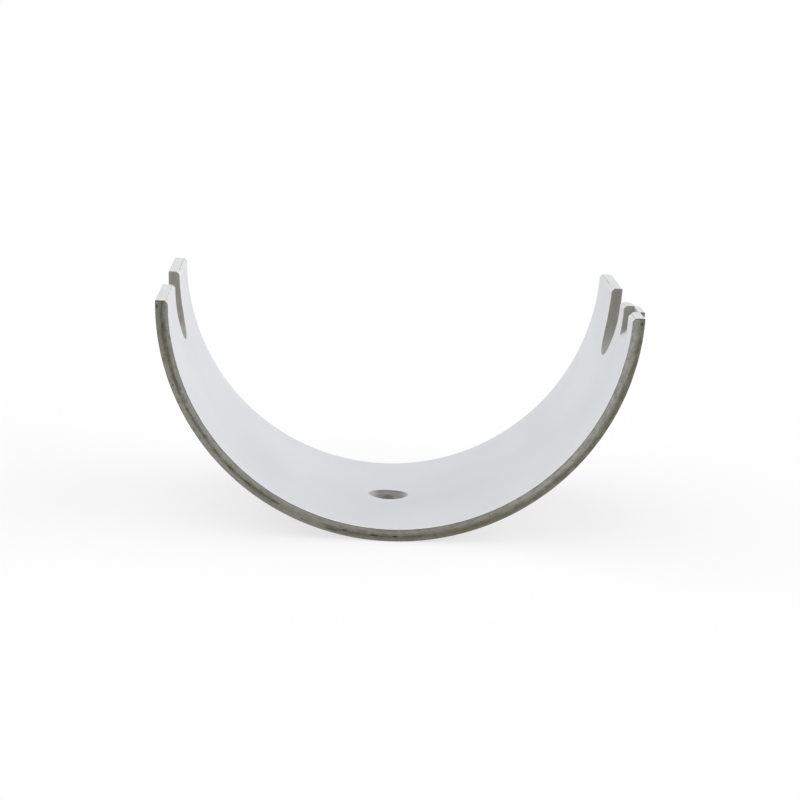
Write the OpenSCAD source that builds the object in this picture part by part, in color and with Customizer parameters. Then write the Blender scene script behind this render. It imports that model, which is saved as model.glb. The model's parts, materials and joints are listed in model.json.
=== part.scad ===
// One half of a plain engine bearing: a thin steel-backed shell, lying on its back with the open side up.
// The origin is on the bore axis, half way along the shell, in the plane of the joint faces.
// The bore axis runs along Y, and the crown of the shell is at the lowest point.

/* [Shell] */
// Diameter of the back, the same as the bore of the housing that it seats in
back_d = 90; // [80:0.5:110]
// Thickness of the wall, steel back and lining together
wall = 2.5; // [2.4:0.1:3.2]
// Length of the shell along the bore axis
shell_l = 42; // [38:0.5:60]
// Chamfer round the bore at both ends of the shell
bore_edge = 0.1; // [0.05:0.05:0.5]
// Chamfer round the back at both ends of the shell
back_edge = 0.1; // [0.05:0.05:0.6]
// Chamfer along the bore side of the joint faces
joint_edge = 0.6; // [0.3:0.05:1]
// How far the slight relief of the bore runs down from each joint face
relief_h = 9; // [6:0.5:11]
// Depth of that relief at the joint face
relief_depth = 0.06; // [0.05:0.01:0.12]

/* [End notches] */
// Width of each notch at the joint face
notch_w = 12.5; // [9:0.5:14]
// Depth of each notch below the joint face
notch_h = 12; // [8:0.2:15]
// Radius at the foot of each notch
notch_foot_r = 4.2; // [2:0.1:4.4]

/* [Locating tang] */
// Width of the tang along the bore axis
tang_w = 5.5; // [4:0.1:6]
// Distance of the middle of the tang from the middle of the shell
tang_y = 12.5; // [11.5:0.1:14]
// Height of the tang above the back, at its sheared side
tang_out = 0.8; // [0.5:0.05:1.6]
// How far the tang runs down the back from the joint face
tang_h = 6.5; // [5:0.1:9]
// Depth of the recess behind the tang, at the joint face
recess_depth = 2.2; // [1.5:0.1:2.3]
// How far the recess runs down the bore from the joint face
recess_h = 6; // [5:0.1:7]
// Radius of the round nose that presses the tang out
nose_r = 6; // [5.5:0.1:9]

/* [Oil hole] */
// Diameter of the oil hole through the crown
oil_hole_d = 4.2; // [3.4:0.1:5.4]
// Width of the countersink along the bore axis, at the bore surface
sink_w = 6; // [5.8:0.1:7]
// How much longer the countersink is round the bore than along the bore axis
sink_stretch = 1.7; // [0.4:0.1:2]
// Angle of the countersink from wall to wall
sink_angle = 95; // [90:5:120]

/* [Hidden] */
$fn = 180;

back_r = back_d / 2;
bore_r = back_r - wall;

// Cuts run past the faces that they open by this much
clear = 5;

// Middle, in x and z, of a round bar that cuts a depth into the bore at the joint face and runs out below it
function bar_centre(r, depth, run_out) =
    let (
        top = [bore_r + depth, 0],
        foot = [sqrt(bore_r ^ 2 - run_out ^ 2), -run_out],
        chord = foot - top,
        rise = sqrt(r ^ 2 - chord * chord / 4)
    )
    (top + foot) / 2 + rise * [chord[1], -chord[0]] / norm(chord);

// The relief is cut to a slightly smaller radius than the bore, so it drops away quickly at its lower edge
relief_r = 0.9 * bore_r;
relief_centre = bar_centre(relief_r, relief_depth, relief_h);
nose_centre = bar_centre(nose_r, recess_depth, recess_h);

// Each notch is an arch of three arcs: two flanks that start square to the joint face, and the round foot
notch_a = notch_w / 2;
foot_z = notch_h - notch_foot_r;
flank_r = (notch_a ^ 2 + foot_z ^ 2 - notch_foot_r ^ 2) / (2 * (notch_a - notch_foot_r));
tangent_z = foot_z * flank_r / (flank_r - notch_foot_r);

// The sheared side of the tang faces the near end, and its outside falls away to the notch
tang_sheared_y = -tang_y - tang_w / 2;
tang_fade_y = -notch_a;
tang_slant = atan(tang_out / (tang_fade_y - tang_sheared_y));

// The outside of the tang is round in the other direction too, and meets the back at its own depth
skin_drop = back_r + tang_out - sqrt(back_r ^ 2 - tang_h ^ 2);
skin_r = (tang_h ^ 2 + skin_drop ^ 2) / (2 * skin_drop);

// The countersink is a cone that ends inside the hole, rocked a little way round the bore axis
sink_h = sink_w / 2 / tan(sink_angle / 2);
sink_rock = asin(sink_stretch / 2 / bore_r);

// Half of a ring round the Y axis, chamfered at both ends
module half_ring() {
    end_y = shell_l / 2;
    rotate([-90, 0, 0])
        rotate_extrude(angle = 180)
            polygon([
                [bore_r, end_y - bore_edge],
                [bore_r + bore_edge, end_y],
                [back_r - back_edge, end_y],
                [back_r, end_y - back_edge],
                [back_r, back_edge - end_y],
                [back_r - back_edge, -end_y],
                [bore_r + bore_edge, -end_y],
                [bore_r, bore_edge - end_y]
            ]);
}

// Outline of a notch, with the joint face along its top
module notch_outline() {
    intersection() {
        translate([flank_r - notch_a, 0])
            circle(r = flank_r);
        translate([notch_a - flank_r, 0])
            circle(r = flank_r);
        translate([-notch_a, -tangent_z])
            square([notch_w, tangent_z]);
    }
    translate([0, -foot_z])
        circle(r = notch_foot_r);
    translate([-notch_a, 0])
        square([notch_w, clear]);
}

// One straight cut that opens the notch at both ends of the wall
module end_notches() {
    rotate([90, 0, 90])
        linear_extrude(height = back_d + 2 * clear, center = true)
            notch_outline();
}

// Cuts along the bore side of the joint face at +X: a slight relief that frees the journal, and the chamfer
module joint_cuts() {
    translate([relief_centre[0], 0, relief_centre[1]])
        rotate([90, 0, 0])
            cylinder(r = relief_r, h = shell_l + 2 * clear, center = true);
    rotate([90, 0, 0])
        linear_extrude(height = shell_l + 2 * clear, center = true)
            polygon([
                [bore_r - clear, -joint_edge - clear],
                [bore_r + joint_edge + clear, clear],
                [bore_r - clear, clear]
            ]);
}

// Metal that the nose pushes out past the back, flush with the joint face
module tang_bulge() {
    intersection() {
        translate([back_r + tang_out - skin_r, tang_sheared_y, 0])
            rotate([-90, 0, tang_slant])
                cylinder(r = skin_r, h = shell_l, center = true);
        translate([back_r - wall / 2, tang_sheared_y, -2 * tang_h])
            cube([wall + tang_out, tang_fade_y - tang_sheared_y, 2 * tang_h]);
    }
}

// Hollow that the nose leaves in the bore behind the tang
module tang_recess() {
    translate([nose_centre[0], tang_sheared_y, nose_centre[1]])
        rotate([-90, 0, 0])
            cylinder(r = nose_r, h = tang_w);
}

// Drilled hole in the crown, countersunk from the bore by a cone that also cuts a little to either side
module oil_hole() {
    translate([0, 0, -back_r - clear])
        cylinder(d = oil_hole_d, h = wall + 2 * clear);
    for (rock = [-sink_rock, 0, sink_rock])
        rotate([0, rock, 0])
            translate([0, 0, -bore_r - sink_h])
                cylinder(d1 = 0, d2 = 2 * sink_w, h = 2 * sink_h);
}

module bearing_shell() {
    color([0.80, 0.81, 0.83])
        difference() {
            union() {
                half_ring();
                tang_bulge();
            }
            end_notches();
            joint_cuts();
            mirror([1, 0, 0])
                joint_cuts();
            tang_recess();
            oil_hole();
        }
}

bearing_shell();
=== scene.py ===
# %% [markdown]
# # An engine bearing shell
# A plain bearing is a steel strip with a soft lining on one side, pressed into a half round. Two such
# shells close round a journal. This one lies on its back, with an arched notch in the middle of each joint
# face, a small tang pushed out beside one notch and a countersunk oil hole in the crown.
#
# The solid model is the frame of this scene. It is loaded first, and some of the sizes are read from its
# box.

# %% Load the imported part
import json
import math
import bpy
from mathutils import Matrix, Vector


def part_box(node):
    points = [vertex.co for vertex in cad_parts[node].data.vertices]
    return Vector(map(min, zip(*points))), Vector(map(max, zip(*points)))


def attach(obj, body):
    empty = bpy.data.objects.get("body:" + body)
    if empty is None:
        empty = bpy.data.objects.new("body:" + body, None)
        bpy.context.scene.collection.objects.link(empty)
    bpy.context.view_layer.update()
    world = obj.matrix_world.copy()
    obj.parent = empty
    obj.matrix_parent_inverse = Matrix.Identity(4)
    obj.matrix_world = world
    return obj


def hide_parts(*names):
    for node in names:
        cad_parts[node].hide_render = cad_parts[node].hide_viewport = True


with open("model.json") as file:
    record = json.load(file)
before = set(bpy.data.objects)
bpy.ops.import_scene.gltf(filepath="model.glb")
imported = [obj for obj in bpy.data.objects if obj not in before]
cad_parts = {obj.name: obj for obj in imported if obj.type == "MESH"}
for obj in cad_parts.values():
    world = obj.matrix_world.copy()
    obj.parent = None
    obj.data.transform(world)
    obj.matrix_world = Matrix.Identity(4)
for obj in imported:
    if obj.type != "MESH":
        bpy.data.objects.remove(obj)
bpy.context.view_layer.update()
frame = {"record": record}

from types import SimpleNamespace

import bmesh
import bpy
import numpy as np
from mathutils import Matrix, Vector

# %% [markdown]
# ## Sizes
# A bearing is a thing of fits, so its bore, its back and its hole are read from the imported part. The other
# sizes are those that a drawing of the shell would give, and each is named in the cell that first needs it.
# All of them are in metres, as Blender's units are.

# %% Sizes of the shell
MM = 0.001
mounts = {mount["name"]: mount["dims"] for mount in frame["record"]["mounts"]}
shell_low, shell_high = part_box("bearing_shell")

BORE_R = mounts["journal_bore"]["r_mm"] * MM
OIL_R = mounts["oil_hole"]["r_mm"] * MM
BACK_R = -shell_low[2]
HALF_L = shell_high[1]

print(f"bore {2 * BORE_R / MM:.1f}, back {2 * BACK_R / MM:.1f}, length {2 * HALF_L / MM:.1f} mm")

# %% [markdown]
# ## The outline of a notch
# Each notch is one stroke of a punch with a pointed, round-nosed outline: two long flanks that start square
# to the joint face, and a small round foot. A Boolean would cut it, but it leaves long thin triangles that
# spoil the soft light on the bore. So the outline is a formula, and the mesh will be laid along it.
#
# The formula walks along the outline by the turn of its normal. That makes an edge break easy: growing both
# radii by the same amount moves the whole outline into the metal.

# %% Notch outline
NOTCH_HALF = 6.25 * MM
NOTCH_DOWN = 12 * MM
FOOT_R = 4.2 * MM
FOOT_DOWN = NOTCH_DOWN - FOOT_R

# Flank and foot touch, so the middles of the two arcs lie as far apart as their radii differ
FLANK_R = (NOTCH_HALF**2 + FOOT_DOWN**2 - FOOT_R**2) / (2 * (NOTCH_HALF - FOOT_R))
TANGENT = math.asin(FOOT_DOWN / (FLANK_R - FOOT_R))


def notch_outline(turn, grow):
    """Half width and depth of the notch where its normal has turned this far from level.

    Up to the tangent turn it is the flank's arc, about a point level with the joint face, and past it the
    arc of the foot. grow is added to both radii.
    """
    flank_r, foot_r = FLANK_R + grow, FOOT_R + grow
    flank = np.stack([flank_r * np.cos(turn) - FLANK_R + NOTCH_HALF, flank_r * np.sin(turn)])
    foot = np.stack([foot_r * np.cos(turn), FOOT_DOWN + foot_r * np.sin(turn)])
    return np.where(turn < TANGENT, flank, foot)


print(f"flank radius {FLANK_R / MM:.2f} mm, tangent at {math.degrees(TANGENT):.1f} degrees")

# %% [markdown]
# ## The tang and its recess
# A round-nosed tool presses the tang out of the wall beside the notch. It shears the metal on the side away
# from the notch and only bends it on the other side. In the bore it leaves a recess with a round floor and
# two flat walls. On the back it raises a low round skin, which climbs in a smooth step beside the notch and
# then runs level to the sheared side. The tool also pulls the corner of the notch after it, so there the
# notch's wall bends away towards the tang.
#
# All of this could be sculpted, but then it would have no sizes to check. Floor and skin are arcs, so each
# is a line of arithmetic instead: how far out it lies at a given depth.

# %% Tang and recess
TANG_NEAR = 15.25 * MM
TANG_FAR = 9.75 * MM
TANG_OUT = shell_high[0] - BACK_R
TANG_DOWN = 6.5 * MM
TANG_RISES = 8.4 * MM
TANG_LEVEL = 11.0 * MM
RECESS_DEPTH = 2.2 * MM
RECESS_DOWN = 6 * MM
NOSE_R = 6 * MM
CORNER_PULL = 1.7 * MM

# The skin's arc stands TANG_OUT off the back at the joint face and drops by this much to its foot
SKIN_DROP = BACK_R + TANG_OUT - math.sqrt(BACK_R**2 - TANG_DOWN**2)
SKIN_R = (TANG_DOWN**2 + SKIN_DROP**2) / (2 * SKIN_DROP)

# Lengths closer than this are taken as equal
HAIR = 1e-6 * MM


def root(square):
    """Square root, with zero for what lies past the end of an arc."""
    return np.sqrt(np.maximum(square, 0))


def bar_reach(down, radius, depth, run_out):
    """How far out a round bar cuts, at a distance below the joint face, and zero below its run-out.

    The bar cuts to its full depth at the joint face. Its circle passes through that point and the run-out,
    so its middle lies square to the middle of their chord, as far away as Pythagoras says.
    """
    top = np.array([BORE_R + depth, 0])
    foot = np.array([math.sqrt(BORE_R**2 - run_out**2), run_out])
    chord = foot - top
    rise = math.sqrt(radius**2 - chord @ chord / 4)
    middle = (top + foot) / 2 + rise * np.array([-chord[1], chord[0]]) / np.linalg.norm(chord)
    reach = middle[0] + root(radius**2 - (down - middle[1]) ** 2)
    return np.where(down < run_out + HAIR, reach, 0)


def recess_floor(down):
    """How far out the nose of the tool reached at this depth, which is the reach of a round bar."""
    return bar_reach(down, NOSE_R, RECESS_DEPTH, RECESS_DOWN)


def tang_skin(down, near):
    """How far out the tang's skin lies at this depth, at a distance towards the near end.

    Down the shell the skin is an arc that stands TANG_OUT off the back at the joint face and meets it at
    TANG_DOWN. Along the shell a smooth step, three times the square of the share less twice its cube, takes
    the skin from the back up to that arc. It ends at the sheared side.
    """
    back = root(BACK_R**2 - down**2)
    arc = BACK_R + TANG_OUT - SKIN_R + root(SKIN_R**2 - down**2)
    share = np.clip((near - TANG_RISES) / (TANG_LEVEL - TANG_RISES), 0, 1)
    reach = back + (arc - back) * share**2 * (3 - 2 * share)
    return np.where((near < TANG_NEAR + HAIR) & (down < TANG_DOWN), reach, 0)


def corner_pull(down, across):
    """How far the notch's wall is pulled towards the tang, at a share of the way across from the bore.

    It grows with the cube of that share, and fades with the square of the height that is left to the tang's
    foot.
    """
    return CORNER_PULL * across**3 * np.maximum(1 - down / TANG_DOWN, 0) ** 2


print(f"tang reaches x = {tang_skin(np.array(0.0), np.array(TANG_NEAR)) / MM:.2f} mm")

# %% [markdown]
# ## Stations from joint face to crown
# The skin of the shell is laid out like the planks of a hull. Stations run round the half circle, from a
# joint face down to the crown, and rows run along the shell, from the middle out to its end. Only a quarter
# of the shell is worked out: the other three are its mirror images, apart from the tang.
#
# A burr is never left on a cut edge. A Bevel modifier would break all the edges alike, but here they
# differ: the notch's bore edge was scraped wide at the joint face and less and less further down. So each
# break is a length in the formulas.

# %% Bore side and back side
JOINT_EDGE = 0.6 * MM
LAND_BREAK = 0.12 * MM
NOTCH_BREAK, FOOT_BREAK = 0.32 * MM, 0.05 * MM
BREAK_FADES = 8 * MM
RELIEF_R = 0.9 * BORE_R
RELIEF_DEPTH = 0.06 * MM
RELIEF_DOWN = 9 * MM


def broken(down):
    """The break of the joint face's own edges: a 45 degree line that ends LAND_BREAK below the face."""
    return np.maximum(LAND_BREAK - down, 0)


def notch_break(down):
    """The break of a notch's bore edge at a depth below the joint face.

    It falls evenly from NOTCH_BREAK at the face to FOOT_BREAK at BREAK_FADES, and stays at that.
    """
    return NOTCH_BREAK + (FOOT_BREAK - NOTCH_BREAK) * np.minimum(down / BREAK_FADES, 1)


def bore_side(down):
    """How far out the bore lies at a depth below the joint face.

    It is whichever lies furthest out: the bore's circle, the joint chamfer or the slight relief that keeps
    the journal off the joint, which is cut by a bar too.
    """
    circle = root(BORE_R**2 - down**2)
    relief = bar_reach(down, RELIEF_R, RELIEF_DEPTH, RELIEF_DOWN)
    return np.maximum(np.maximum(circle, relief), BORE_R + JOINT_EDGE - down)


def back_side(down):
    """How far out the back lies at a depth below the joint face: its circle, less that face's break."""
    return root(BACK_R**2 - down**2) - broken(down)


print(f"the chamfer opens the bore to {bore_side(np.array(0.0)) / MM:.2f} mm at the joint face")

# %% [markdown]
# In the middle of the shell there is first the notch, then plain wall, then the oil hole, so the first row
# follows the edge of whatever is open there. On the notch's flank the stations are given by depth, because
# the chamfer and the recess have to end at one. Round its foot they are equal steps of turn, which crowd
# together by themselves where the outline bends.

# %% Stations in the notch
BACK_BREAK = 0.12 * MM
CHAMFER_DOWN = JOINT_EDGE - RELIEF_DEPTH
RECESS_STATIONS, FLANK_STATIONS, FOOT_STATIONS = 14, 10, 18

flank_end = (FLANK_R + FOOT_BREAK) * math.sin(TANGENT)
flank_down = np.concatenate([
    [0, LAND_BREAK],
    np.linspace(CHAMFER_DOWN, RECESS_DOWN, RECESS_STATIONS),
    np.linspace(RECESS_DOWN, flank_end, FLANK_STATIONS)[1:-1],
])
flank_turn = np.arcsin(flank_down / (FLANK_R + notch_break(flank_down)))
foot_turn = np.linspace(TANGENT, math.pi / 2, FOOT_STATIONS)
turn = np.concatenate([flank_turn, foot_turn])
bore_break = np.concatenate([notch_break(flank_down), np.full(FOOT_STATIONS, FOOT_BREAK)])
N_NOTCH = len(turn)

notch_bore = notch_outline(turn, bore_break)
notch_wall = notch_outline(turn, 0)
notch_back = notch_outline(turn, BACK_BREAK)
print(f"{N_NOTCH} stations in the notch")

# %% [markdown]
# The oil hole is drilled straight down through the crown and countersunk from the bore. The countersink is
# longer round the bore than along it: a cone already meets a hollow round in a slightly long rim, and the
# tool was let wander a little to either side. So the rim is an oval, and the slope below it keeps the
# cone's angle.

# %% Stations at the oil hole
SINK_HALF_LONG = 3.97 * MM
SINK_HALF_WIDE = 3.0 * MM
SINK_HALF_ANGLE = math.radians(47.5)
HOLE_BREAK = 0.1 * MM
N_HOLE = 26

around = np.linspace(0, math.pi / 2, N_HOLE)


def hole_ring(half_long, half_wide):
    """Distance from the middle plane and half width of an oval round the hole.

    They are the half length times the cosine and the half width times the sine of each station's angle.
    """
    return half_long * np.cos(around), half_wide * np.sin(around)


hole_bore = hole_ring(SINK_HALF_LONG + HOLE_BREAK, SINK_HALF_WIDE + HOLE_BREAK)
hole_rim = hole_ring(SINK_HALF_LONG, SINK_HALF_WIDE)
hole_wall = hole_ring(OIL_R, OIL_R)
hole_back = hole_ring(OIL_R + HOLE_BREAK, OIL_R + HOLE_BREAK)
rim_down = root(BORE_R**2 - hole_rim[0] ** 2) + HOLE_BREAK
sink_down = rim_down + (np.hypot(*hole_rim) - OIL_R) / math.tan(SINK_HALF_ANGLE)
print(f"the rim rises by {np.ptp(rim_down) / MM:.2f} mm, and the countersink ends")
print(f"{(sink_down.min() - BORE_R) / MM:.2f} to {(sink_down.max() - BORE_R) / MM:.2f} mm below the bore")

# %% [markdown]
# Between the notch and the hole the wall is plain, and the stations are equal steps of angle. The bore and
# the back keep their own angles, because a notch that is cut straight through a curved wall is not radial.

# %% All stations of a quarter
N_PLAIN = 60


def stations(radius, side, notch, hole):
    """Distance out, depth and half width of the opening at every station, on the bore or on the back.

    In the notch they come from its outline, then from equal angles of the circle, then from the hole's
    oval.
    """
    plain_from = math.asin(notch[1][-1] / radius)
    plain_to = math.acos(hole[0][0] / radius)
    angle = np.linspace(plain_from, plain_to, N_PLAIN + 2)[1:-1]
    out = np.concatenate([side(notch[1]), radius * np.cos(angle), hole[0]])
    down = np.concatenate([notch[1], radius * np.sin(angle), root(radius**2 - hole[0] ** 2)])
    open_half = np.concatenate([notch[0] + broken(notch[1]), np.zeros(N_PLAIN), hole[1]])
    return out, down, open_half


bore_out, bore_down, bore_open = stations(BORE_R, bore_side, notch_bore, hole_bore)
back_out, back_down, back_open = stations(BACK_R, back_side, notch_back, hole_back)
print(f"{len(bore_out)} stations in a quarter")

# %% [markdown]
# ## Rows along the shell
# The first rows are stretched between the edge of the opening and a line just past the notch. From there on
# the rows are straight lines along the shell, with pairs of rows close together at the two walls of the
# recess, so that its walls stand up steeply and its edges get their own narrow faces. The far edge of the
# recess is only broken, but on the sheared side the tool has dragged the lining down with it, so that edge
# is rolled over.

# %% Rows
ROW_FREE = 8.8 * MM
WALL_SLOPE = 0.05 * MM
RECESS_BREAK = 0.25 * MM
ROLLED_WIDE, ROLLED_DEEP = 1.3 * MM, 0.5 * MM
STRETCHED_ROWS, RECESS_ROWS, PLAIN_ROWS = 8, 9, 5

stretch = np.linspace(0, 1, STRETCHED_ROWS)
straight = np.concatenate([
    TANG_FAR - np.array([RECESS_BREAK, WALL_SLOPE]),
    np.linspace(TANG_FAR, TANG_NEAR, RECESS_ROWS),
    TANG_NEAR + np.array([WALL_SLOPE, ROLLED_WIDE]),
    np.linspace(TANG_NEAR + ROLLED_WIDE, HALF_L, PLAIN_ROWS)[1:-1],
])

# Where each row lies, with zero for the stretched ones, which differ from station to station
row_at = np.concatenate([np.zeros(STRETCHED_ROWS - 1), [ROW_FREE], straight, [HALF_L]])

# How far the recess may deepen the bore at each row: freely inside it, a little at its two edges
in_recess = (row_at > TANG_FAR - HAIR) & (row_at < TANG_NEAR + HAIR)
at_break = np.isclose(row_at, TANG_FAR - WALL_SLOPE)
at_roll = np.isclose(row_at, TANG_NEAR + WALL_SLOPE)
recess_limit = np.select([in_recess, at_break, at_roll], [BORE_R, RECESS_BREAK, ROLLED_DEEP], 0)


def rows(open_half, edge):
    """Distance from the middle of every row at every station.

    The first rows share out the way from the opening to ROW_FREE evenly. The rest are the same at every
    station, and the last ends short of the end face by its chamfer.
    """
    near = open_half[:, None] + (ROW_FREE - open_half[:, None]) * stretch
    ends = np.append(straight, HALF_L - edge)
    return np.hstack([near, np.broadcast_to(ends, (len(open_half), len(ends)))])


print(f"{len(row_at)} rows from the middle to the end")

# %% [markdown]
# ## Six grids make a quarter
# A quarter of the skin is the bore, the end face, the back, the wall of the notch, the wall of the hole
# and the joint face. Each is a grid of points, and neighbours share their edge points exactly, so that the
# whole skin closes when the doubles are merged. The bore and the back come first, because all the others
# are stretched between them.

# %% Bore and back
BORE_EDGE = 0.1 * MM
BACK_EDGE = 0.1 * MM


def points(out, along, down):
    """Points from their distance out, along the shell and below the joint faces, which are x, y and -z."""
    return np.stack(np.broadcast_arrays(out, along, -down), axis=-1)


def bore_and_back(has_tang):
    """The grids of the bore and the back, with each station's reach and depth at each row.

    With the tang, the bore reaches to the floor of the recess, as far as each row allows, and the back
    reaches to the tang's skin. The first rows of the back then start from the pulled corner of the notch.
    """
    pull = np.zeros(len(back_open))
    if has_tang:
        pull[:N_NOTCH] = corner_pull(notch_back[1], 1.0)
    bore_row = rows(bore_open, BORE_EDGE)
    back_row = rows(back_open + pull, BACK_EDGE)
    bore_reach = np.broadcast_to(bore_out[:, None], bore_row.shape)
    back_reach = np.broadcast_to(back_out[:, None], back_row.shape)
    if has_tang:
        floor = recess_floor(bore_down) + broken(bore_down)
        bore_reach = np.maximum(bore_reach, np.minimum(floor[:, None], bore_reach + recess_limit))
        raised = tang_skin(back_down[:, None], back_row) - broken(back_down)[:, None]
        back_reach = np.maximum(back_reach, raised)
    bore = points(bore_reach, bore_row, bore_down[:, None])
    back = points(back_reach, back_row, back_down[:, None])
    return bore, back


for grid in bore_and_back(True):
    print(f"{grid.shape[0]} by {grid.shape[1]} points, out to x = {grid[..., 0].max() / MM:.2f} mm")

# %% [markdown]
# The other four grids run across the wall, from the bore to the back. Their first and last strips are the
# chamfers and breaks, and what lies between them is straight.

# %% End face, notch wall, hole and joint face
N_ACROSS = 6
ACROSS = np.linspace(0, 1, N_ACROSS)[None, :, None]


def between(inner, outer):
    """Points at even shares, given by ACROSS, of the straight line from each inner to its outer point."""
    return inner[:, None, :] * (1 - ACROSS) + outer[:, None, :] * ACROSS


def toward_back(out, down, step):
    """Distance out and depth after a step through the wall: both grow by the step over the radius."""
    scale = 1 + step / np.hypot(out, down)
    return out * scale, down * scale


def end_grid(bore, back):
    """The end face: from the bore over its chamfer, straight through the wall, and over the back's."""
    inner_out, inner_down = toward_back(bore_out, bore_down, BORE_EDGE)
    outer_out, outer_down = toward_back(back_out, back_down, -BACK_EDGE)
    face = between(
        points(inner_out, HALF_L - broken(bore_down), inner_down),
        points(outer_out, HALF_L - broken(back_down), outer_down),
    )
    return np.concatenate([bore[:, -1:], face, back[:, -1:]], axis=1)


def wall_grid(bore, back, has_tang):
    """The notch's wall, straight out through the shell at its outline, and bent by the tang's pull."""
    half, down = notch_wall
    half = half + broken(down)
    face = between(
        points(bore_side(down) + notch_break(down), half, down),
        points(back_side(down) - BACK_BREAK, half, down),
    )
    if has_tang:
        face[:, :, 1] += corner_pull(down[:, None], ACROSS[:, :, 0])
    return np.concatenate([bore[:N_NOTCH, :1], face, back[:N_NOTCH, :1]], axis=1)


def hole_grid(bore, back):
    """The oil hole: the countersink from its rim to the drill's circle, then straight down to the back."""
    sink = between(points(*hole_rim, rim_down), points(*hole_wall, sink_down))
    drill_end = points(*hole_wall, root(BACK_R**2 - hole_wall[0] ** 2) - HOLE_BREAK)
    return np.concatenate([bore[-N_HOLE:, :1], sink, drill_end[:, None], back[-N_HOLE:, :1]], axis=1)


def joint_grid(bore, back, wall, end):
    """The joint face: even shares of the way from the bore's first station to the back's.

    Its first and last lines of points are the edges of the notch's wall and of the end face.
    """
    share = np.linspace(0, 1, end.shape[1])[None, :, None]
    joint = bore[0][:, None] * (1 - share) + back[0][:, None] * share
    joint[0] = wall[0]
    joint[-1] = end[0]
    return joint


def quarter(has_tang):
    """The grids of the quarter at +X, with distances along the shell counted from the middle."""
    bore, back = bore_and_back(has_tang)
    end = end_grid(bore, back)
    wall = wall_grid(bore, back, has_tang)
    hole = hole_grid(bore, back)
    joint = joint_grid(bore, back, wall, end)
    return {"bore": bore, "end": end, "back": back, "wall": wall, "hole": hole, "joint": joint}


for name, grid in quarter(True).items():
    print(name, grid.shape[:2], "points")

# %% [markdown]
# The finish of a face follows from its grid and its place in it. The bore is lining, but the chamfer of
# the joint face is cut with the joint face. In the recess the floor and the rolled edge are lining that the
# nose has smeared along, and the two walls are torn steel. The flank of the tang was sheared, as the ends of
# the shell were. The bore's edges at the end face, the notch, the hole and the far side of the recess are
# broken edges, which carry a painted highlight.

# %% Finish of each face
FINISHES = [
    "lining",
    "joint_face",
    "sheared_end",
    "punched_wall",
    "broken_edge_highlight",
    "steel_back",
    "drilled_hole",
]
LINING, JOINT, END, PUNCHED, EDGE, BACK, HOLE = range(len(FINISHES))
CHAMFER_STRIPS = 2


def finishes(grids, has_tang):
    """The finish of every face of every grid of a quarter, as arrays one smaller each way than the grids.

    A face is sorted by its first station and row. It is in the recess or on the tang where that station
    lies above their foot, on a wall where the rows enter or leave the recess, and on the flank after the
    last row of the tang.
    """
    worn = {name: np.full(np.array(grid.shape[:2]) - 1, LINING) for name, grid in grids.items()}
    worn["bore"][:CHAMFER_STRIPS] = JOINT
    worn["end"][:] = END
    worn["end"][:, 0] = EDGE
    worn["back"][:] = BACK
    if has_tang:
        sunk = (bore_down[:-1] < RECESS_DOWN - HAIR)[:, None]
        torn = in_recess[:-1] != in_recess[1:]
        broke = np.isclose(row_at[:-1], TANG_FAR - RECESS_BREAK)
        worn["bore"] = np.where(sunk & torn, PUNCHED, np.where(sunk & broke, EDGE, worn["bore"]))
        raised = (back_down[:-1] < TANG_DOWN - HAIR)[:, None]
        flank = np.isclose(row_at[:-1], TANG_NEAR)
        worn["back"] = np.where(raised & flank, END, worn["back"])
    worn["wall"][:] = PUNCHED
    worn["wall"][:, 0] = EDGE
    worn["hole"][:] = HOLE
    worn["hole"][:, 0] = EDGE
    worn["joint"][:] = JOINT
    return worn


counts = np.bincount(np.concatenate([w.ravel() for w in finishes(quarter(True), True).values()]))
print(dict(zip(FINISHES, counts.tolist())))

# %% [markdown]
# ## The skin of the shell
# Four quarters are set round the middle, their doubles are merged, and the normals are turned outwards. The
# skin is then one closed surface, so Blender can weigh it, and its volume is printed with its open edges.
# Faces are shaded smooth, with sharp edges wherever two faces meet at more than a few degrees. That keeps
# the bore a true round and every chamfer crisp.

# %% Build the shell
SHARP = math.radians(20)
SAME_POINT = 0.001 * MM


def grid_faces(shape, first):
    """Corner numbers of the faces of a grid whose points are numbered from first, row by row."""
    number = first + np.arange(shape[0] * shape[1]).reshape(shape)
    corners = [number[:-1, :-1], number[1:, :-1], number[1:, 1:], number[:-1, 1:]]
    return np.stack(corners, axis=-1).reshape(-1, 4)


def shell_mesh():
    """One mesh of all four quarters: each is multiplied by 1 or -1 in x and y to reach its side."""
    spots, faces, worn = [], [], []
    total = 0
    for side in (1, -1):
        for end in (-1, 1):
            has_tang = side > 0 > end
            grids = quarter(has_tang)
            finish = finishes(grids, has_tang)
            for name, grid in grids.items():
                spots.append((grid * [side, end, 1]).reshape(-1, 3))
                faces.append(grid_faces(grid.shape[:2], total))
                worn.append(finish[name].ravel())
                total += len(spots[-1])
    mesh = bpy.data.meshes.new("bearing_shell_skin")
    mesh.from_pydata(np.concatenate(spots), [], np.concatenate(faces))
    mesh.polygons.foreach_set("material_index", np.concatenate(worn).astype(np.int32))
    return mesh


def close_skin(mesh):
    """Merges the doubles along the seams, turns the faces outwards, marks the sharp edges and measures.

    An edge is open if it is used by more or fewer than two faces.
    """
    shape = bmesh.new()
    shape.from_mesh(mesh)
    bmesh.ops.remove_doubles(shape, verts=shape.verts, dist=SAME_POINT)
    bmesh.ops.recalc_face_normals(shape, faces=shape.faces)
    volume = shape.calc_volume(signed=True)
    shape.to_mesh(mesh)
    shape.free()
    mesh.polygons.foreach_set("use_smooth", np.ones(len(mesh.polygons), bool))
    mesh.set_sharp_from_angle(angle=SHARP)
    edge_at_corner = np.empty(len(mesh.loops), np.int32)
    mesh.loops.foreach_get("edge_index", edge_at_corner)
    open_edges = np.count_nonzero(np.bincount(edge_at_corner, minlength=len(mesh.edges)) != 2)
    return open_edges, volume


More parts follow.
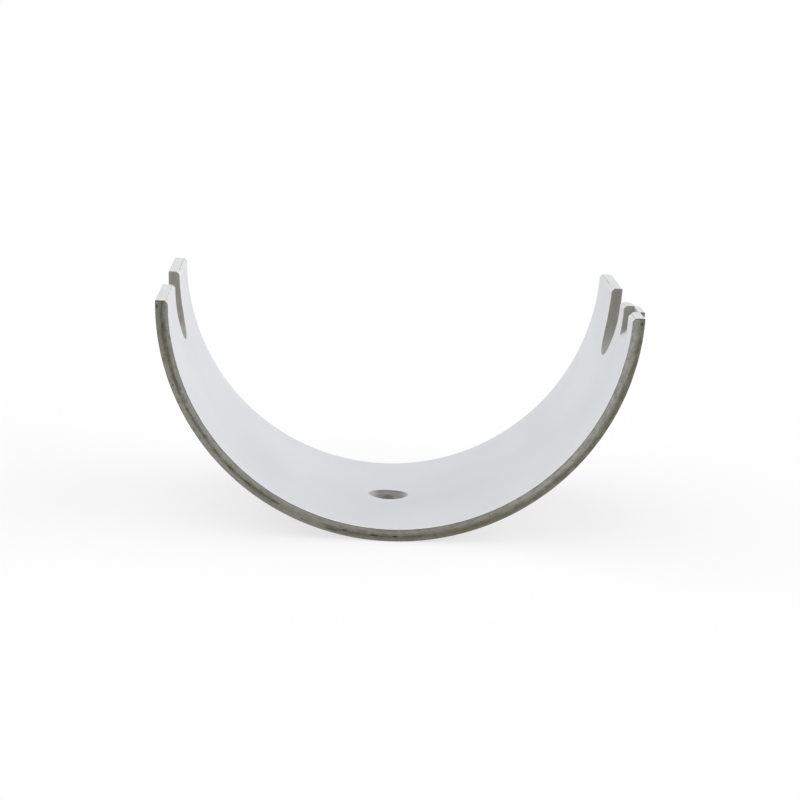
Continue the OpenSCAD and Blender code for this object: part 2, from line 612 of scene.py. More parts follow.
skin = shell_mesh()
open_edges, volume = close_skin(skin)
shell = bpy.data.objects.new("bearing_shell_skin", skin)
bpy.context.scene.collection.objects.link(shell)
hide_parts("bearing_shell")
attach(shell, "root")
print(f"{len(skin.polygons)} faces, {open_edges} open edges, {volume / MM**3:.0f} cubic mm")

# %% [markdown]
# ## A bench for finishes
# The finishes could be painted on a picture, but a picture has to be wrapped round the shell and goes soft
# close up. Patterns on Object coordinates, in metres from the middle of the joint plane, stay sharp at any
# distance. A few helpers keep them short. One turns a colour from a picture editor into the linear light
# that Blender's sockets take, one adds a node and wires its sockets in a single call, and the rest are the
# few kinds of node that every finish uses.

# %% Helpers for nodes


def srgb(*picked):
    """Linear colour of three values from 0 to 255, by the standard curve of a screen.

    A share of up to 0.04045 is divided by 12.92. A larger one has 0.055 added, is divided by 1.055 and
    raised to the power 2.4.
    """
    share = np.array(picked) / 255
    linear = np.where(share <= 0.04045, share / 12.92, ((share + 0.055) / 1.055) ** 2.4)
    return (*linear.tolist(), 1.0)


def add(tree, kind, wires=None, **settings):
    """Adds a node with its settings, and wires each socket to an output or sets it to a value."""
    made = tree.nodes.new(kind)
    for name, value in settings.items():
        setattr(made, name, value)
    for socket, value in (wires or {}).items():
        if isinstance(value, bpy.types.NodeSocket):
            tree.links.new(value, made.inputs[socket])
        else:
            made.inputs[socket].default_value = value
    return made


def maths(tree, operation, *values):
    """The output of one Math node, which does what its operation says."""
    return add(tree, "ShaderNodeMath", dict(enumerate(values)), operation=operation).outputs[0]


def times(tree, *values):
    """The values multiplied together."""
    result = values[0]
    for value in values[1:]:
        result = maths(tree, "MULTIPLY", result, value)
    return result


def apart(tree, first, second):
    """How far apart two values are: their difference without its sign."""
    return maths(tree, "ABSOLUTE", maths(tree, "SUBTRACT", first, second))


def spread(tree, value, span, to=(0.0, 1.0)):
    """A value taken from one span to another by a smooth step, without passing either end."""
    wires = {0: value, 1: span[0], 2: span[1], 3: to[0], 4: to[1]}
    return add(tree, "ShaderNodeMapRange", wires, interpolation_type="SMOOTHSTEP").outputs[0]


def tint(tree, share, first, second):
    """The first colour, plus a share of the way from it to the second."""
    wires = {0: share, 6: first, 7: second}
    return add(tree, "ShaderNodeMix", wires, data_type="RGBA").outputs[2]


def noise(tree, where, scale, detail=2.0, rough=0.5):
    """Soft noise from 0 to 1, with so many grains to a unit of where, and finer noise in steps upon it."""
    wires = {"Vector": where, "Scale": scale, "Detail": detail, "Roughness": rough}
    return add(tree, "ShaderNodeTexNoise", wires).outputs[0]


def drawn_noise(tree, where, scales, detail, rough=0.5):
    """Noise with its own number of grains to the metre along each axis, so that it can be drawn out."""
    drawn = add(tree, "ShaderNodeMapping", {"Vector": where, "Scale": scales}).outputs[0]
    return noise(tree, drawn, 1.0, detail, rough)


def fine_lines(tree, along, scale, detail=3.0):
    """Noise of a single coordinate, so that each line keeps its value right across the surface."""
    wires = {"W": along, "Scale": scale, "Detail": detail}
    return add(tree, "ShaderNodeTexNoise", wires, noise_dimensions="1D").outputs[0]


print("srgb(128, 128, 128) is", [round(c, 3) for c in srgb(128, 128, 128)])

# %% [markdown]
# The next helpers are about finishes. Noise seldom comes near 0 or 1, so a pattern is first spread over the
# span where most of its values lie. One pattern then serves for colour, for roughness and for a bump, which
# is right for a tool mark: where the surface is scored, it is also duller and of another shade.

# %% Helpers for finishes
MOST_NOISE = (0.3, 0.7)
ALL_NOISE = (0.2, 0.8)


def new_finish(name):
    """A new material, its shader, and the Object coordinates as a vector and as x, y and z."""
    finish = bpy.data.materials.new(name)
    finish.use_nodes = True
    tree = finish.node_tree
    shader = tree.nodes["Principled BSDF"]
    where = add(tree, "ShaderNodeTexCoord").outputs["Object"]
    axes = add(tree, "ShaderNodeSeparateXYZ", {0: where}).outputs
    return finish, tree, shader, where, axes


def flip(tree, value):
    """A value times minus one."""
    return times(tree, value, -1.0)


def from_axis(tree, axes):
    """Distance from the axis of the bore: the root of x squared plus z squared."""
    squares = [times(tree, axes[i], axes[i]) for i in (0, 2)]
    return maths(tree, "SQRT", maths(tree, "ADD", *squares))


def portions(tree, first, second, part):
    """That part of the first value plus the rest of the second."""
    return maths(tree, "ADD", times(tree, first, part), times(tree, second, 1 - part))


def shades(tree, pattern, pair, span=MOST_NOISE):
    """A colour from the first of a pair to the second, as the pattern passes through the span."""
    return tint(tree, spread(tree, pattern, span), *pair)


def wear(tree, shader, colour, pattern, height, rough, depth, metal):
    """Wires a finish to its shader.

    The roughness passes from the first of its pair to the second as the pattern passes through ALL_NOISE.
    The bump is the height times the depth in metres. The share of metal is one number for all the surface.
    """
    bump = add(tree, "ShaderNodeBump", {"Height": height, "Distance": depth})
    tree.links.new(colour, shader.inputs["Base Color"])
    tree.links.new(spread(tree, pattern, ALL_NOISE, rough), shader.inputs["Roughness"])
    tree.links.new(bump.outputs[0], shader.inputs["Normal"])
    shader.inputs["Metallic"].default_value = metal


def describe(finish):
    """Prints the name of a finish and how many nodes it took."""
    print(finish.name, len(finish.node_tree.nodes), "nodes")


print("most of the noise lies between", MOST_NOISE)

# %% [markdown]
# ## Lining
# The lining is a soft alloy, bored to size with a fine tool, so it is a pale satin grey with the faintest
# of lines round the bore. The lines have the same value all the way round, which makes them noise of one
# coordinate: the distance along the shell. On the floor of the recess a darker grey is painted shade, and it
# is strongest in the corner at the far wall. Only that floor lies well outside the bore's circle, which is
# how the finish finds it.

# %% Lining
LINING_GREYS = srgb(203, 204, 208), srgb(211, 212, 216)
RECESS_SHADE_GREY = srgb(166, 166, 163)
LINING_CLOUD, LINING_LINES = 45.0, 3200.0
CLOUD_PART = 0.7
RECESS_SHADE_FROM, RECESS_SHADE_FULL = 0.6 * MM, 1.3 * MM
CORNER_WIDE = 2.0 * MM
CORNER_FADES = (1.0, 0.35)


def lining_finish():
    """A cloud and fine lines, CLOUD_PART of it the cloud, between two pale greys.

    The lines are noise of the distance along the shell. A darker grey, painted shade in the recess, comes in
    where the radius passes the bore's by RECESS_SHADE_FROM to RECESS_SHADE_FULL, and gets stronger over the
    last CORNER_WIDE before the far wall.
    """
    finish, tree, shader, where, axes = new_finish("lining")
    cloud = noise(tree, where, LINING_CLOUD, detail=3.0)
    lines = fine_lines(tree, axes[1], LINING_LINES)
    bored = shades(tree, portions(tree, cloud, lines, CLOUD_PART), LINING_GREYS)
    # Painted shade: the floor of the recess is darker, most of all in the corner at the far wall.
    sunk = spread(tree, from_axis(tree, axes), (BORE_R + RECESS_SHADE_FROM, BORE_R + RECESS_SHADE_FULL))
    corner = spread(tree, flip(tree, axes[1]), (TANG_FAR, TANG_FAR + CORNER_WIDE), CORNER_FADES)
    colour = tint(tree, times(tree, sunk, corner), bored, RECESS_SHADE_GREY)
    wear(tree, shader, colour, lines, lines, rough=(0.42, 0.52), depth=0.003 * MM, metal=0.2)
    return finish


lining = lining_finish()
describe(lining)

# %% [markdown]
# ## Joint faces
# The joint faces are broached: a tool with many teeth passes along them once, and leaves straight
# scratches along the stroke. So the noise is drawn out along the shell. Where the chamfer begins, a thin,
# uneven, darker line follows its edge. Its place is known from the sizes above: it lies at one distance
# from the middle of the bore.

# %% Joint faces
BROACHED_GREYS = srgb(197, 198, 200), srgb(214, 214, 214)
CHAMFER_LINE_GREY = srgb(150, 150, 148)
BROACH_MARKS = (2600.0, 160.0, 2600.0)
CHAMFER_LINE_FADES = (0.05 * MM, 0.16 * MM)
CHAMFER_LINE_PATCHES, CHAMFER_LINE_SPAN, CHAMFER_LINE_WEIGHT = 700.0, (0.42, 0.6), (0.15, 0.75)


def joint_finish():
    """Scratches along the stroke between two greys, and a patchy darker line at the chamfer's edge.

    The line is full where x lies within the first length of CHAMFER_LINE_FADES of that edge, and is gone at
    the second. It is multiplied by noise, which makes it patchy.
    """
    finish, tree, shader, where, axes = new_finish("joint_face")
    marks = drawn_noise(tree, where, BROACH_MARKS, detail=3.0, rough=0.6)
    cut = shades(tree, marks, BROACHED_GREYS)
    # A thin, patchy, darker line along the edge of the chamfer.
    off_line = apart(tree, maths(tree, "ABSOLUTE", axes[0]), BORE_R + JOINT_EDGE)
    line = spread(tree, off_line, CHAMFER_LINE_FADES, to=(1.0, 0.0))
    patches = noise(tree, where, CHAMFER_LINE_PATCHES, detail=3.0, rough=0.7)
    patchy = spread(tree, patches, CHAMFER_LINE_SPAN, CHAMFER_LINE_WEIGHT)
    colour = tint(tree, times(tree, line, patchy), cut, CHAMFER_LINE_GREY)
    wear(tree, shader, colour, marks, marks, rough=(0.34, 0.5), depth=0.006 * MM, metal=0.25)
    return finish


joint_face = joint_finish()
describe(joint_face)

# %% [markdown]
# ## Sheared end faces
# The end faces are where the strip was cut to length and left. The blade pressed the bore's side smooth and
# tore the rest, so a clean grey band runs along the bore, a ragged dark seam follows it, and the steel
# outside the seam has gone a dull olive with oil and age.
#
# A pattern on x and z would cut straight across the round. This one is drawn in measures of its own: how
# far a point lies through the wall, and how far round the shell. It is then laid on in coats, as a painter
# would do it: bare steel, seam, edges, stains with some painted shade, and nicks.

# %% Measures of an end face
LEAN = 0.13


def wall_measures(tree, axes):
    """Where a point of an end face lies, in the measures of the wall.

    arc is the angle from straight down times the back's radius, and outside is the same, counted so that
    both ends look alike from in front of them. through is the radius past the bore over the thickness of
    the wall. share is through, less LEAN at +X and more by LEAN at -X, so a pattern on it leans.
    """
    radius = from_axis(tree, axes)
    down = flip(tree, axes[2])
    arc = times(tree, maths(tree, "ARCTAN2", axes[0], down), BACK_R)
    outside = times(tree, arc, maths(tree, "SIGN", flip(tree, axes[1])))
    through = maths(tree, "DIVIDE", maths(tree, "SUBTRACT", radius, BORE_R), BACK_R - BORE_R)
    share = maths(tree, "SUBTRACT", through, times(tree, axes[0], LEAN / BACK_R))
    polar = add(tree, "ShaderNodeCombineXYZ", {0: arc, 1: radius, 2: axes[1]}).outputs[0]
    left = flip(tree, axes[0])
    return SimpleNamespace(
        polar=polar, outside=outside, through=through, share=share, left=left, down=down, up=axes[2]
    )


def near_to(tree, at, place, half, core, most):
    """The value most close to a place round the shell, in millimetres from the crown.

    It holds for the core, a share of the half length, and fades to nothing at the half length.
    """
    off = apart(tree, at.outside, place * MM)
    return spread(tree, off, (core * half * MM, half * MM), to=(most, 0.0))


print(f"an end face is {math.pi * BACK_R / MM:.0f} mm round and {(BACK_R - BORE_R) / MM:.1f} mm through")

# %% [markdown]
# Four kinds of noise are enough for all the coats: fine streaks along the cut, a mottle, a slow drift and
# dashes. The last two don't change through the wall. The bare steel is grey at the bore and olive at the
# back, and a few stretches have been rubbed clean.

# %% Bare steel
STREAKS = (300.0, 4000.0, 20.0)
MOTTLE = (900.0, 1500.0, 20.0)
DRIFT = (75.0, 0.0, 20.0)
DASHES = (380.0, 0.0, 20.0)
PATCHY_SPAN, PATCHY_WEIGHT = (0.35, 0.6), (0.45, 1.0)
END_GREYS = srgb(124, 124, 119), srgb(163, 163, 159)
END_OLIVES = srgb(88, 88, 73), srgb(130, 130, 117)
RUBBED_GREY = srgb(152, 152, 148)
GREY_TO_OLIVE = (0.2, 0.6)
GRAIN_SPAN = (0.42, 0.58)
GRAIN_CONTRAST = (0.9, 1.2)
SIDE_TO_SIDE = (-BACK_R, BACK_R)

# Stretches rubbed clean: middle and half length, in millimetres round the shell from the crown
RUBBED = [(-43, 20), (-18, 8)]
RUBBED_CORE, RUBBED_MOST = 0.3, 0.75


def end_grain(tree, at):
    """The four noises of an end face, and patchy, which is the mottle spread over PATCHY_WEIGHT."""
    mottle = drawn_noise(tree, at.polar, MOTTLE, detail=4.0, rough=0.7)
    return SimpleNamespace(
        streak=drawn_noise(tree, at.polar, STREAKS, detail=5.0, rough=0.75),
        mottle=mottle,
        drift=drawn_noise(tree, at.polar, DRIFT, detail=3.0),
        dash=drawn_noise(tree, at.polar, DASHES, detail=4.0, rough=0.7),
        patchy=spread(tree, mottle, PATCHY_SPAN, PATCHY_WEIGHT),
    )


def bare_steel(tree, at, grain):
    """Grey to olive by the share of the wall, in fine grain, with the rubbed stretches laid over it.

    The grain is the mean of streak and mottle, spread over GRAIN_SPAN. Its difference from one half is
    multiplied by GRAIN_CONTRAST, which grows from +X to -X.
    """
    mean = times(tree, maths(tree, "ADD", grain.streak, grain.mottle), 0.5)
    contrast = spread(tree, at.left, SIDE_TO_SIDE, GRAIN_CONTRAST)
    fine = maths(tree, "SUBTRACT", spread(tree, mean, GRAIN_SPAN), 0.5)
    fine = maths(tree, "ADD", times(tree, fine, contrast), 0.5)
    grey = tint(tree, fine, *END_GREYS)
    olive = tint(tree, fine, *END_OLIVES)
    face = shades(tree, at.share, (grey, olive), GREY_TO_OLIVE)
    for place, half in RUBBED:
        rubbed = near_to(tree, at, place, half, RUBBED_CORE, RUBBED_MOST)
        face = tint(tree, times(tree, rubbed, grain.patchy), face, RUBBED_GREY)
    return face


print(len(RUBBED), "rubbed stretches")

# %% [markdown]
# The seam is where the clean cut turned into a tear. It wanders, it comes and goes in dashes, and it is
# darker on one side of the shell than on the other. The two edges of the face have their own tones: the
# outer one is worn bright, and a thin dark line runs along the bore's edge.

# %% Seam and edges
SEAM_AT, SEAM_SWING = 0.63, 0.22
SEAM_FADES = (0.02, 0.17)
SEAM_WEIGHT = (0.4, 1.0)
DASH_SPAN, DASH_WEIGHT = (0.35, 0.62), (0.35, 0.9)
SEAM_OLIVE = srgb(66, 65, 48)
RIM_GREY = srgb(138, 138, 130)
LIP_GREY = srgb(88, 90, 90)
RIM_SPAN, RIM_WEIGHT = (0.78, 0.96), (0.35, 0.7)
LIP_FADES, LIP_WEIGHT = (0.05, 0.14), (0.6, 0.0)

# Stretches that lost their seam: middle and half length in millimetres
FADED = [(-18, 8)]
FADED_CORE, FADED_MOST = 0.4, 0.8


def seam_dark(tree, at, grain):
    """How dark the seam is: full at its own share of the wall, and gone at the end of SEAM_FADES from it.

    Drift and streak each move it by up to half of SEAM_SWING from SEAM_AT. Its darkness is multiplied by
    SEAM_WEIGHT, which grows from +X to -X, and by the dashes, and is lessened in the faded stretches.
    """
    swing = times(tree, maths(tree, "SUBTRACT", grain.drift, 0.5), SEAM_SWING)
    ragged = times(tree, maths(tree, "SUBTRACT", grain.streak, 0.5), SEAM_SWING)
    middle = maths(tree, "ADD", maths(tree, "ADD", swing, ragged), SEAM_AT)
    seam = spread(tree, apart(tree, at.share, middle), SEAM_FADES, to=(1.0, 0.0))
    weight = spread(tree, at.left, SIDE_TO_SIDE, SEAM_WEIGHT)
    dark = times(tree, weight, seam, spread(tree, grain.dash, DASH_SPAN, DASH_WEIGHT))
    for place, half in FADED:
        faded = near_to(tree, at, place, half, FADED_CORE, FADED_MOST)
        dark = times(tree, dark, maths(tree, "SUBTRACT", 1.0, faded))
    return dark


def edge_tones(tree, at, face):
    """The face with a bright outer rim, by the share and more so at -X, and a dark lip at the bore."""
    rim = times(tree, spread(tree, at.left, SIDE_TO_SIDE, RIM_WEIGHT), spread(tree, at.share, RIM_SPAN))
    face = tint(tree, rim, face, RIM_GREY)
    lip = spread(tree, at.through, LIP_FADES, LIP_WEIGHT)
    return tint(tree, lip, face, LIP_GREY)


print(f"seam at {SEAM_AT * (BACK_R - BORE_R) / MM:.2f} mm through the wall")

# %% [markdown]
# Then come stains, oil and shade. Brown stains sit in the mottle, most of all on one side. The face is
# darker towards the crown and towards the top of that side, two stretches are oily, and a painted shadow
# lies in a thin dark line just under the joint face.

# %% Stains and painted shade
STAIN_BROWN = srgb(82, 77, 56)
CROWN_AND_TOP_OLIVE = srgb(98, 96, 82)
OIL_BROWN = srgb(88, 84, 58)
SHADOW_LINE_DARK = srgb(66, 67, 70)
STAIN_FROM, STAIN_WEIGHT = 0.2 * BACK_R, (0.25, 1.0)
STAIN_SPAN, STAIN_MOST = (0.46, 0.66), 0.75
CROWN_FROM, CROWN_MOST = 0.65 * BACK_R, 0.4
TOP_FROM, TOP_MOST = 0.95 * BACK_R, 0.45
OIL_SPAN = (0.25, 0.5)
SHADOW_LINE_FROM, SHADOW_LINE_FULL, SHADOW_LINE_MOST = 0.3 * MM, 0.12 * MM, 0.6

# Oily stretches: middle and half length in millimetres
OILY = [(16, 11), (53, 9)]
OILY_CORE, OILY_MOST = 0.2, 0.3


def stains_and_shade(tree, at, grain, face):
    """The face with its coats of stain, a darker olive, oil and a painted shadow.

    The stain is the mottle times a weight that grows towards -X. The darker olive is the larger of two
    weights: one grows towards the crown, and one towards the top at -X. The oil is patchy and keeps to the
    outer share of the wall. The painted shadow grows from SHADOW_LINE_FROM to SHADOW_LINE_FULL below the
    joint face.
    """
    side = spread(tree, at.left, (STAIN_FROM, BACK_R), STAIN_WEIGHT)
    stain = times(tree, side, spread(tree, grain.mottle, STAIN_SPAN, to=(0.0, STAIN_MOST)))
    face = tint(tree, stain, face, STAIN_BROWN)
    # Darker olive towards the crown and towards the top at -X.
    crown = spread(tree, at.down, (CROWN_FROM, BACK_R), to=(0.0, CROWN_MOST))
    top = spread(tree, at.left, (TOP_FROM, BACK_R), to=(0.0, TOP_MOST))
    face = tint(tree, maths(tree, "MAXIMUM", crown, top), face, CROWN_AND_TOP_OLIVE)
    outer = spread(tree, at.share, OIL_SPAN)
    for place, half in OILY:
        oily = near_to(tree, at, place, half, OILY_CORE, OILY_MOST)
        face = tint(tree, times(tree, oily, grain.patchy, outer), face, OIL_BROWN)
    # Painted shadow: a thin dark line just under the joint face.
    shadow_line = spread(tree, at.up, (-SHADOW_LINE_FROM, -SHADOW_LINE_FULL), to=(0.0, SHADOW_LINE_MOST))
    return tint(tree, shadow_line, face, SHADOW_LINE_DARK)


print(len(OILY), "oily stretches")

# %% [markdown]
# Last come the nicks, small dark digs where the tear went deep. There are few, and they are easy to see, so
# each has its own place, length and darkness. Then the coats are laid on one another and the finish is done.

# %% Nicks, and the whole end face
NICK_DARK = srgb(34, 31, 22)
NICK_CORE = 0.4
NICK_FADES = (0.03, 0.1)

# Millimetres round the shell from the crown, share of the wall, half length in millimetres, darkness
NICKS = [
    (-69.6, 0.86, 0.5, 0.8),
    (-65.9, 0.55, 0.6, 0.6),
    (-34.9, 0.59, 0.9, 0.5),
    (-30.4, 0.55, 1.2, 0.5),
    (-23.8, 0.52, 1.3, 0.5),
    (-17.0, 0.76, 1.5, 0.35),
    (-11.8, 0.77, 1.8, 0.45),
    (-9.1, 0.55, 0.6, 0.8),
    (-3.3, 0.59, 1.1, 0.9),
    (-1.2, 0.61, 2.4, 0.3),
    (0.8, 0.6, 0.7, 0.95),
    (4.4, 0.61, 2.6, 0.25),
    (69.7, 0.78, 0.5, 0.8),
]


def nicks(tree, at):
    """How dark the nicks are: the largest of them all, each fading round the shell and through the wall."""
    darkest = 0.0
    for place, through, half, strength in NICKS:
        close = spread(tree, apart(tree, at.through, through), NICK_FADES, to=(1.0, 0.0))
        nick = times(tree, near_to(tree, at, place, half, NICK_CORE, strength), close)
        darkest = maths(tree, "MAXIMUM", darkest, nick)
    return darkest


def end_finish():
    """The coats of an end face in their order. The bump is the streaks less the nicks and half the seam."""
    finish, tree, shader, _, axes = new_finish("sheared_end")
    at = wall_measures(tree, axes)
    grain = end_grain(tree, at)
    seam = seam_dark(tree, at, grain)
    face = tint(tree, seam, bare_steel(tree, at, grain), SEAM_OLIVE)
    face = stains_and_shade(tree, at, grain, edge_tones(tree, at, face))
    nicked = nicks(tree, at)
    colour = tint(tree, nicked, face, NICK_DARK)
    sunk = maths(tree, "ADD", nicked, times(tree, seam, 0.5))
    height = maths(tree, "SUBTRACT", grain.streak, sunk)
    wear(tree, shader, colour, grain.streak, height, rough=(0.5, 0.68), depth=0.03 * MM, metal=0.3)
    return finish


sheared_end = end_finish()
describe(sheared_end)

# %% [markdown]
# ## Punched walls
# The punch that cut the notches and the nose that pressed out the tang both tore the metal and left it
# grey. The torn skin is patchy down the wall, with faint streaks that the oil has left, so the noise is
# squeezed across the wall and drawn out down it. A notch is a little paler at its foot. The walls of the
# recess get painted light, which makes them lighter than those of the notches, and more painted light turns
# them quite pale where they run out into the bore.

# %% Punched walls
TORN_GREYS = srgb(120, 119, 110), srgb(142, 141, 135)
SHADED_GREY = srgb(108, 108, 102)
RECESS_LIT_GREY = srgb(162, 162, 158)
RUN_OUT_LIT_GREY = srgb(214, 214, 212)
FOOT_GREY = srgb(166, 166, 162)
TORN_MARKS = (1500.0, 900.0, 220.0)
TORN_SPAN = (0.25, 0.75)
SHADED_MOST, RECESS_LIT_MOST, RUN_OUT_LIT_MOST, FOOT_MOST = 0.4, 0.6, 0.75, 0.5
RUN_OUT_FROM = 0.7 * RECESS_DOWN
FOOT_FROM = 0.6 * NOTCH_DOWN


def punched_finish():
    """Drawn-out noise between two greys, with four tones laid over it by place.

    A darker grey, a painted shade, grows from the middle towards +X. Nearer than the far edge of the recess,
    where only its two walls are punched, a lighter grey is painted light, and more painted light makes it
    paler from RUN_OUT_FROM down. The foot's tone grows from FOOT_FROM down.
    """
    finish, tree, shader, where, axes = new_finish("punched_wall")
    marks = drawn_noise(tree, where, TORN_MARKS, detail=3.0, rough=0.6)
    face = shades(tree, marks, TORN_GREYS, TORN_SPAN)
    shaded = spread(tree, axes[0], (0.0, BACK_R), to=(0.0, SHADED_MOST))
    face = tint(tree, shaded, face, SHADED_GREY)
    far_edge = (TANG_FAR - RECESS_BREAK, TANG_FAR - WALL_SLOPE)
    # Painted light: the walls of the recess are lighter than those of the notches.
    recess_lit = spread(tree, flip(tree, axes[1]), far_edge, to=(0.0, RECESS_LIT_MOST))
    face = tint(tree, recess_lit, face, RECESS_LIT_GREY)
    down = flip(tree, axes[2])
    # Painted light: paler still where the walls of the recess run out into the bore.
    run_out = spread(tree, down, (RUN_OUT_FROM, RECESS_DOWN), to=(0.0, RUN_OUT_LIT_MOST))
    face = tint(tree, times(tree, run_out, recess_lit), face, RUN_OUT_LIT_GREY)
    foot = spread(tree, down, (FOOT_FROM, NOTCH_DOWN), to=(0.0, FOOT_MOST))
    colour = tint(tree, foot, face, FOOT_GREY)
    wear(tree, shader, colour, marks, marks, rough=(0.45, 0.62), depth=0.02 * MM, metal=0.2)
    return finish


punched_wall = punched_finish()
describe(punched_wall)

# %% [markdown]
# ## Broken edges
# A broken edge is painted warmer and brighter than the lining beside it, as a painted highlight. It is only
# a few tenths of a millimetre wide, and it is uneven because it was done by hand or in a tumbler, so plain
# noise is enough.

# %% Broken edges
EDGE_HIGHLIGHT_GREYS = srgb(212, 211, 208), srgb(228, 227, 224)
EDGE_GRAINS = 900.0


def edge_finish():
    """Noise between two bright greys, which is also its roughness and its bump."""
    finish, tree, shader, where, _ = new_finish("broken_edge_highlight")
    uneven = noise(tree, where, EDGE_GRAINS, detail=3.0)
    # Painted highlight: the broken edges are brighter than the faces beside them.
    colour = shades(tree, uneven, EDGE_HIGHLIGHT_GREYS)
    wear(tree, shader, colour, uneven, uneven, rough=(0.34, 0.5), depth=0.01 * MM, metal=0.25)
    return finish


broken_edge_highlight = edge_finish()
describe(broken_edge_highlight)

# %% [markdown]
# ## Back
# The back seats in its housing, so it is ground smooth and left plain: steel grey, with fine lines round
# it. It is made as the lining is, from a cloud and lines, but with more of the lines and a larger share of
# metal, because bare steel shines where the soft lining does not.

# %% Back
BACK_GREYS = srgb(168, 168, 166), srgb(194, 194, 192)
BACK_CLOUD, BACK_LINES = 90.0, 4200.0
BACK_CLOUD_PART = 0.6


def back_finish():
    """A cloud and fine lines, BACK_CLOUD_PART of it the cloud, between two greys of bare steel."""
    finish, tree, shader, where, axes = new_finish("steel_back")
    cloud = noise(tree, where, BACK_CLOUD, detail=4.0, rough=0.6)
    lines = fine_lines(tree, axes[1], BACK_LINES)
    ground = portions(tree, cloud, lines, BACK_CLOUD_PART)
    colour = shades(tree, ground, BACK_GREYS)
    wear(tree, shader, colour, ground, lines, rough=(0.36, 0.5), depth=0.006 * MM, metal=0.6)
    return finish


steel_back = back_finish()
describe(steel_back)

# %% [markdown]
# ## Oil hole
# The hole is drilled and countersunk, and both tools leave rings, which are noise of the depth alone. The
# countersink is grey with a few brownish patches, and is brighter towards its two ends. Deeper down,
# old oil has stained the wall a dull olive.

# %% Oil hole
SINK_GREYS = srgb(114, 113, 110), srgb(149, 147, 144)
SINK_BROWN = srgb(140, 126, 116)
SINK_BRIGHT = srgb(196, 195, 194)
STAIN_OLIVES = srgb(118, 118, 107), srgb(150, 149, 138)
HOLE_RINGS, HOLE_PATCHES = 4200.0, 800.0
BROWN_SPAN, BROWN_MOST = (0.45, 0.75), 0.5
BRIGHT_MIDDLE = 0.4 * MM
BRIGHT_FROM, BRIGHT_FULL, BRIGHT_MOST = 1.8 * MM, 4.2 * MM, 0.85
STAIN_TOP, STAIN_FULL = BORE_R + 0.95 * MM, BORE_R + 1.1 * MM
STAIN_LEAN = 0.08


def hole_finish():
    """A grey countersink that brightens towards its two ends, and an olive stain in the depth of the hole.

    The brightness grows with the distance from a line across the hole, BRIGHT_MIDDLE off its middle. The
    stain begins at the depth STAIN_TOP and is full at STAIN_FULL. It leans: towards +X it begins higher, by
    STAIN_LEAN of the distance.
    """
    finish, tree, shader, where, axes = new_finish("drilled_hole")
    rings = fine_lines(tree, axes[2], HOLE_RINGS, detail=2.0)
    patches = noise(tree, where, HOLE_PATCHES, detail=3.0)
    brown = spread(tree, patches, BROWN_SPAN, to=(0.0, BROWN_MOST))
    sink = tint(tree, brown, shades(tree, rings, SINK_GREYS), SINK_BROWN)
    off_middle = apart(tree, axes[0], BRIGHT_MIDDLE)
    bright = spread(tree, off_middle, (BRIGHT_FROM, BRIGHT_FULL), to=(0.0, BRIGHT_MOST))
    sink = tint(tree, bright, sink, SINK_BRIGHT)
    deep = maths(tree, "SUBTRACT", times(tree, axes[0], STAIN_LEAN), axes[2])
    stained = spread(tree, deep, (STAIN_TOP, STAIN_FULL))
    colour = tint(tree, stained, sink, tint(tree, patches, *STAIN_OLIVES))
    wear(tree, shader, colour, rings, rings, rough=(0.4, 0.58), depth=0.015 * MM, metal=0.35)
    return finish


drilled_hole = hole_finish()
describe(drilled_hole)

# %% [markdown]
# Each face of the mesh already holds the number of its finish, so the finishes only have to be put into
# the slots in that order.

# %% Put the finishes on the shell
made = [lining, joint_face, sheared_end, punched_wall, broken_edge_highlight, steel_back, drilled_hole]
for finish in made:
    skin.materials.append(finish)
print([finish.name for finish in skin.materials] == FINISHES, "finishes in the order of the faces")

# %% [markdown]
# ## Floor, world and light
# The shell lies on a white table. A white ground is easily overlit, and then it eats the edges of a pale
# object, so the light stays at a level where a colour looks as it was picked. What the camera and
# reflections see of the ground and the world is mixed with plain white instead, and the rest of the mix
# keeps the shadow.

# %% Floor and world
FLOOR_HALF = 6.0
TABLE_GREY = (0.86, 0.86, 0.86, 1)
PLAIN_WHITE = (1, 1, 1, 1)
WHITE_SHARE = 0.65
AMBIENT = 0.66


def seen_directly(tree):
    """1 for a ray from the camera, off a shiny surface or through a clear one, and 0 for soft light.

    It is the largest of the three, each of which is 1 or 0.
    """
    rays = add(tree, "ShaderNodeLightPath").outputs
    shiny = maths(tree, "MAXIMUM", rays["Is Glossy Ray"], rays["Is Transmission Ray"])
    return maths(tree, "MAXIMUM", rays["Is Camera Ray"], shiny)


def white_table():
    """A large flat square just under the crown, with a soft shadow on a white ground.

    Seen directly it is WHITE_SHARE of plain white and the rest matt paint. To soft light it is all paint.
    """
    corner = np.array([[-1, -1], [1, -1], [1, 1], [-1, 1]]) * FLOOR_HALF
    spots = np.column_stack([corner, np.full(4, -BACK_R)])
    mesh = bpy.data.meshes.new("table")
    mesh.from_pydata(spots, [], [(0, 1, 2, 3)])
    paint = bpy.data.materials.new("white_table")
    paint.use_nodes = True
    tree = paint.node_tree
    tree.nodes.clear()
    matt = add(tree, "ShaderNodeBsdfDiffuse", {"Color": TABLE_GREY}).outputs[0]
    white = add(tree, "ShaderNodeEmission", {"Color": PLAIN_WHITE, "Strength": 1.0}).outputs[0]
    share = times(tree, seen_directly(tree), WHITE_SHARE)
    mix = add(tree, "ShaderNodeMixShader", {0: share, 1: matt, 2: white}).outputs[0]
    add(tree, "ShaderNodeOutputMaterial", {"Surface": mix})
    mesh.materials.append(paint)
    table = bpy.data.objects.new("table", mesh)
    bpy.context.scene.collection.objects.link(table)
    return table


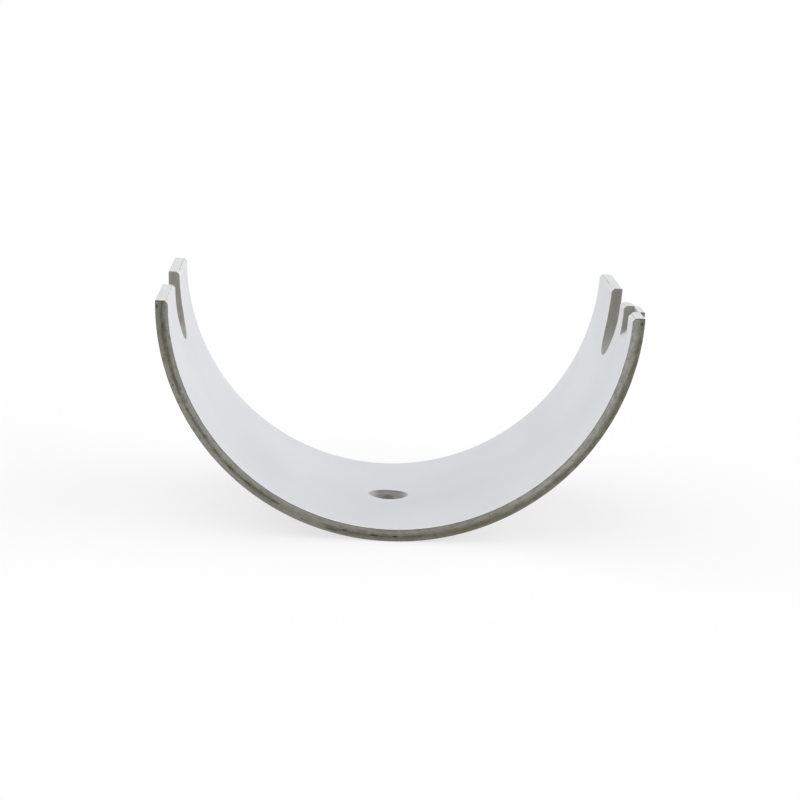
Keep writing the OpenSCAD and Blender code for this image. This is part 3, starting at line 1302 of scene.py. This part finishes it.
def white_world():
    """A world that is plain white where it is seen directly, and lights with AMBIENT of that elsewhere."""
    world = bpy.data.worlds.new("studio")
    bpy.context.scene.world = world
    world.use_nodes = True
    tree = world.node_tree
    tree.nodes.clear()
    soft = add(tree, "ShaderNodeBackground", {"Color": PLAIN_WHITE, "Strength": AMBIENT}).outputs[0]
    white = add(tree, "ShaderNodeBackground", {"Color": PLAIN_WHITE, "Strength": 1.0}).outputs[0]
    mix = add(tree, "ShaderNodeMixShader", {0: seen_directly(tree), 1: soft, 2: white}).outputs[0]
    add(tree, "ShaderNodeOutputWorld", {"Surface": mix})


table = white_table()
white_world()
print(table.name, "at", round(-BACK_R / MM, 2), "mm")

# %% [markdown]
# Two soft boxes stand beside the table. A lamp straight above would make the crown of a hollow round the
# brightest place, but here the walls are brighter than the crown, so the light comes from the sides: one
# box is low on the right, and lights the wall across from it, and one is higher on the left. Each is a sun
# with a very wide disc, because a sun lights the whole table evenly, and a wide disc makes a shadow that is
# dark only where the shell touches.

# %% Soft boxes
LAMP_DISC = math.radians(100)

# The direction in which each box stands, and its strength
SOFT_BOXES = {
    "right_soft_box": (Vector((1.0, -0.1, 0.1)), 2.45),
    "left_soft_box": (Vector((-0.7, 0.0, 0.75)), 1.27),
}

for name, (stands, strength) in SOFT_BOXES.items():
    lamp = bpy.data.objects.new(name, bpy.data.lights.new(name, "SUN"))
    lamp.data.energy = strength
    lamp.data.angle = LAMP_DISC
    lamp.rotation_euler = stands.to_track_quat("Z", "Y").to_euler()
    lamp.visible_glossy = False
    bpy.context.scene.collection.objects.link(lamp)
    print(name, f"at {math.degrees(math.asin(stands.normalized().z)):.0f} degrees above the table")

# %% [markdown]
# ## Camera
# The photograph was taken from in front of the shell and a little above it, with a lens that fits a small
# part into the frame from about a forearm's length. The camera is also turned a little about its own axis,
# since the two ends of the shell are not level in the frame. A Track To constraint can't give that turn, so
# the three directions of the camera are worked out: ahead, right and up.

# %% Camera
CAMERA_AT = Vector((-14.47, -337.97, 68.87)) * MM
AIM_AT = Vector((0.97, -10.18, -20.06)) * MM
ROLL = math.radians(2.76)
SENSOR = 36.0
FOCAL_PIXELS = 1771.4
IMAGE_PIXELS = 800

ahead = (AIM_AT - CAMERA_AT).normalized()
level = ahead.cross(Vector((0, 0, 1))).normalized()
above = level.cross(ahead)
right = level * math.cos(ROLL) + above * math.sin(ROLL)
up = above * math.cos(ROLL) - level * math.sin(ROLL)

camera_data = bpy.data.cameras.new("camera")
camera_data.sensor_width = SENSOR
camera_data.lens = SENSOR * FOCAL_PIXELS / IMAGE_PIXELS
camera = bpy.data.objects.new("camera", camera_data)
camera.matrix_world = Matrix.Translation(CAMERA_AT) @ Matrix((right, up, -ahead)).transposed().to_4x4()
bpy.context.scene.collection.objects.link(camera)
bpy.context.scene.camera = camera
bpy.context.scene.view_settings.view_transform = "Standard"
print(f"lens {camera_data.lens:.1f} mm")
